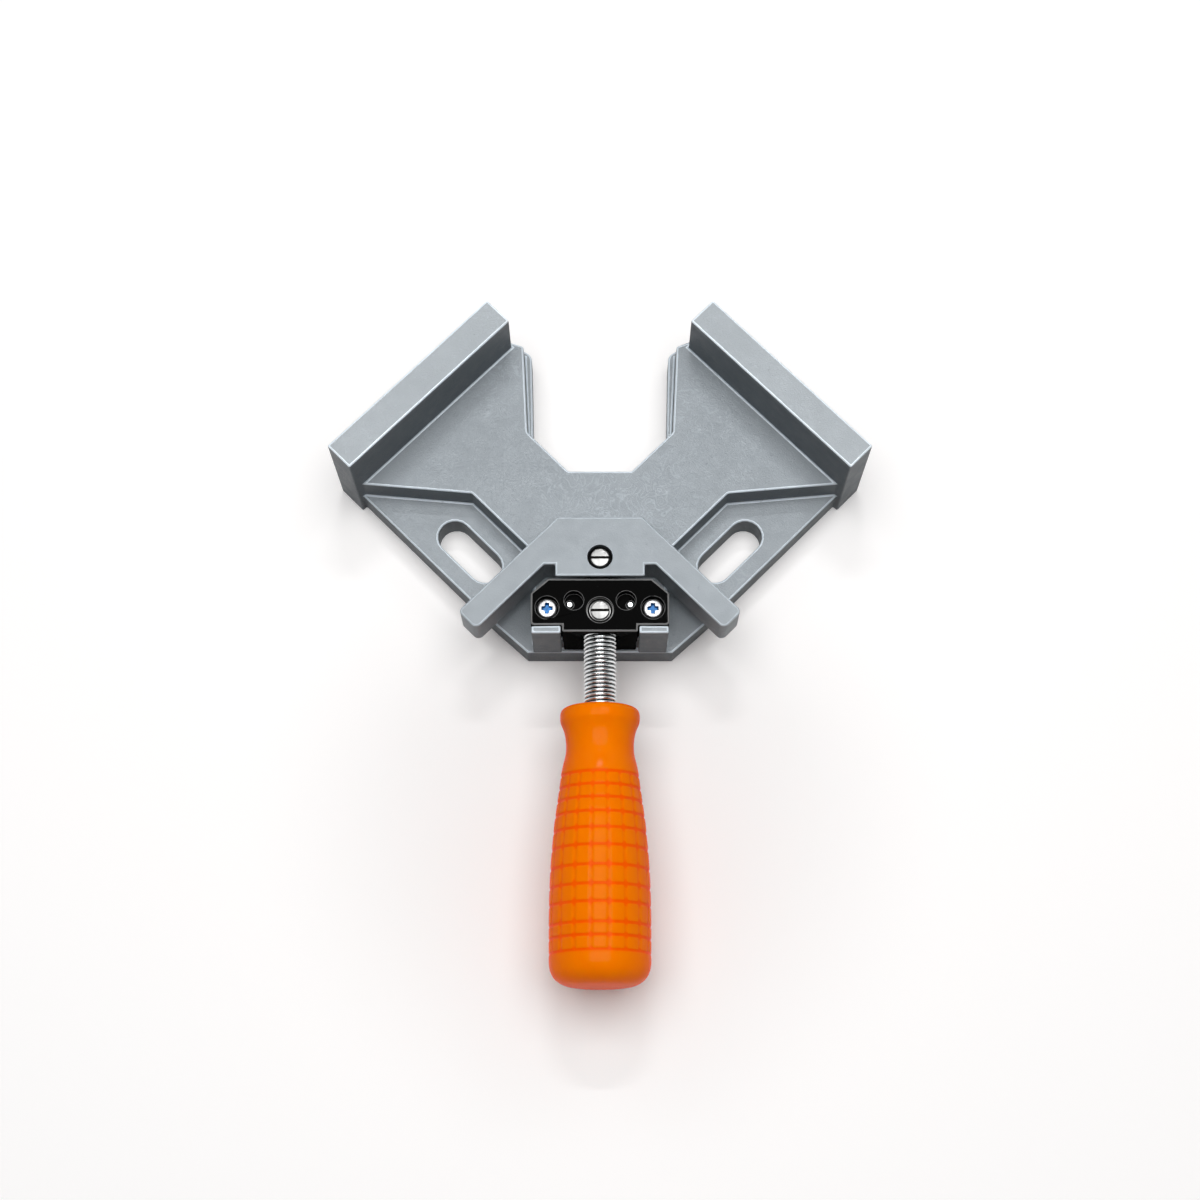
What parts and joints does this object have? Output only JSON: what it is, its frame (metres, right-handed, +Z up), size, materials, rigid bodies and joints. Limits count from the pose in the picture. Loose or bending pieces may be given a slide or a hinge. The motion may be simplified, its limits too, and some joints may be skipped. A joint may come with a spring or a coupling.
{
  "type": "corner clamp",
  "caption": "Right angle corner clamp: cast base with two square fences, a sliding swivel jaw on a screw spindle and a plastic handle.",
  "frame": {"origin": "middle of the footprint, on the surface that the base stands on", "axes": "+Y from the handle to the open corner, +Z up, +X to the right seen from the handle"},
  "size_m": [0.1636, 0.2067, 0.0412],
  "materials": {
    "cast_grey": "satin grey coat on die-cast aluminium",
    "black_block": "glossy black coat",
    "zinc_steel": "bright zinc plate",
    "bearing_plastic": "dull black",
    "orange_plastic": "glossy moulded orange"
  },
  "bodies": {
    "base": {"base_casting": "cast_grey", "nut_block": "black_block", "nut_bush": "bearing_plastic", "block_screw_left": "zinc_steel", "block_screw_right": "zinc_steel", "locating_pin_left": "zinc_steel", "locating_pin_right": "zinc_steel"},
    "nut": {"swivel_nut": "zinc_steel"},
    "jaw_pivot": {"jaw_pivot_barrel": "zinc_steel", "jaw_pivot_screw": "zinc_steel"},
    "spindle": {"spindle": "zinc_steel", "handle_grip": "orange_plastic"},
    "jaw": {"jaw_casting": "cast_grey"}
  },
  "joints": [
    {"name": "nut_swivel", "type": "hinge", "parent": "base", "child": "nut", "pos_m": [0, 0.0071, 0.0255], "axis": [0, 0, 1], "range_deg": [-4, 4]},
    {"name": "screw_travel", "type": "slide", "parent": "nut", "child": "jaw_pivot", "axis": [0, 1, 0], "range_m": [0, 0.018]},
    {"name": "spindle_turn", "type": "hinge", "parent": "jaw_pivot", "child": "spindle", "pos_m": [0, 0.0231, 0.0255], "axis": [0, 1, 0], "range_deg": [0, 5184]},
    {"name": "jaw_swivel", "type": "hinge", "parent": "jaw_pivot", "child": "jaw", "pos_m": [0, 0.0231, 0.0255], "axis": [0, 0, 1], "range_deg": [-3, 3]}
  ],
  "couplings": [
    {"joint": "spindle_turn", "follows": "screw_travel", "rad_per_m": 5026.5}
  ]
}
